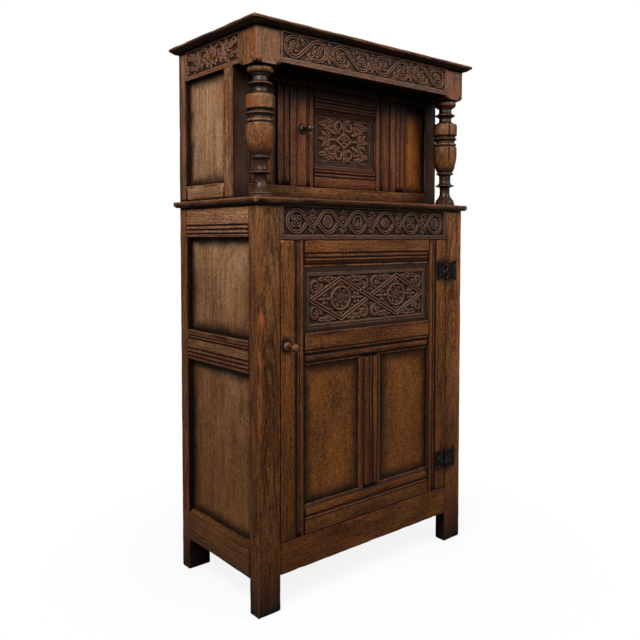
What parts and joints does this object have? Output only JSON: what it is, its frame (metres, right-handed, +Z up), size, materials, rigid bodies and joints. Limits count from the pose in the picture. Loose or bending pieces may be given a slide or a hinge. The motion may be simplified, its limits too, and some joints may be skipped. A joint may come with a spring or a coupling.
{
  "type": "court cupboard",
  "caption": "Joined oak court cupboard with a framed lower door and a recessed upper cupboard under a carved canopy on turned posts.",
  "frame": {"origin": "on the floor, under the middle of the whole piece", "axes": "+Z up, front towards -Y, +X to the right as seen from the front"},
  "size_m": [0.844, 0.462, 1.53],
  "materials": {
    "frame_oak": "satin",
    "panel_oak": "satin",
    "carved_oak": "satin",
    "turned_oak": "satin",
    "inner_oak": "matte",
    "iron": "satin"
  },
  "bodies": {
    "case": {"back_leg_left": "frame_oak", "back_leg_right": "frame_oak", "cabinet_back_panel": "inner_oak", "cabinet_back_stile_left": "frame_oak", "cabinet_back_stile_right": "frame_oak", "cabinet_bottom_rail": "frame_oak", "cabinet_fixed_panels": "panel_oak", "cabinet_front_stile_left": "frame_oak", "cabinet_front_stile_right": "frame_oak", "cabinet_mullion_left": "frame_oak", "cabinet_mullion_right": "frame_oak", "cabinet_side_rail_left": "frame_oak", "cabinet_side_rail_right": "frame_oak", "cabinet_top_rail": "frame_oak", "canopy_soffit": "inner_oak", "corner_post_left": "turned_oak", "corner_post_right": "turned_oak", "front_bottom_rail": "frame_oak", "front_frieze": "carved_oak", "front_frieze_rail": "carved_oak", "front_leg_left": "frame_oak", "front_leg_right": "frame_oak", "hinge_case_leaves": "iron", "hinge_pins": "iron", "lower_back_panel": "inner_oak", "lower_back_rails": "inner_oak", "lower_floor": "inner_oak", "lower_shelf": "inner_oak", "shelf_bearers": "inner_oak", "side_bottom_rail_left": "frame_oak", "side_bottom_rail_right": "frame_oak", "side_frieze_left": "carved_oak", "side_frieze_right": "carved_oak", "side_middle_rail_left": "frame_oak", "side_middle_rail_right": "frame_oak", "side_panels_left": "panel_oak", "side_panels_right": "panel_oak", "side_top_rail_left": "frame_oak", "side_top_rail_right": "frame_oak", "top_board": "frame_oak", "upper_door_pivots": "iron", "waist_board": "frame_oak"},
    "lower_door": {"lower_door_bottom_rail": "frame_oak", "lower_door_carved_panel": "panel_oak", "lower_door_middle_rail": "frame_oak", "lower_door_muntin": "frame_oak", "lower_door_plain_panels": "panel_oak", "lower_door_stile_left": "frame_oak", "lower_door_stile_right": "frame_oak", "lower_door_top_rail": "frame_oak", "hinge_door_leaves": "iron"},
    "upper_door": {"upper_door_bottom_rail": "frame_oak", "upper_door_carved_panel": "panel_oak", "upper_door_stile_left": "frame_oak", "upper_door_stile_right": "frame_oak", "upper_door_top_rail": "frame_oak"},
    "lower_latch": {"lower_knob": "turned_oak", "lower_catch": "turned_oak"},
    "upper_latch": {"upper_knob": "turned_oak", "upper_catch": "turned_oak"}
  },
  "joints": [
    {"name": "lower_door_hinge", "type": "hinge", "parent": "case", "child": "lower_door", "pos_m": [0.328, -0.1899, 0.5765], "axis": [0, 0, 1], "range_deg": [0, 115]},
    {"name": "upper_door_pivot", "type": "hinge", "parent": "case", "child": "upper_door", "pos_m": [0.1765, -0.067, 1.271], "axis": [0, 0, 1], "range_deg": [0, 95]},
    {"name": "lower_knob_turn", "type": "hinge", "parent": "lower_door", "child": "lower_latch", "pos_m": [-0.307, -0.186, 0.7], "axis": [0, 1, 0], "range_deg": [0, 90]},
    {"name": "upper_knob_turn", "type": "hinge", "parent": "upper_door", "child": "upper_latch", "pos_m": [-0.1665, -0.075, 1.288], "axis": [0, 1, 0], "range_deg": [0, 90]}
  ]
}
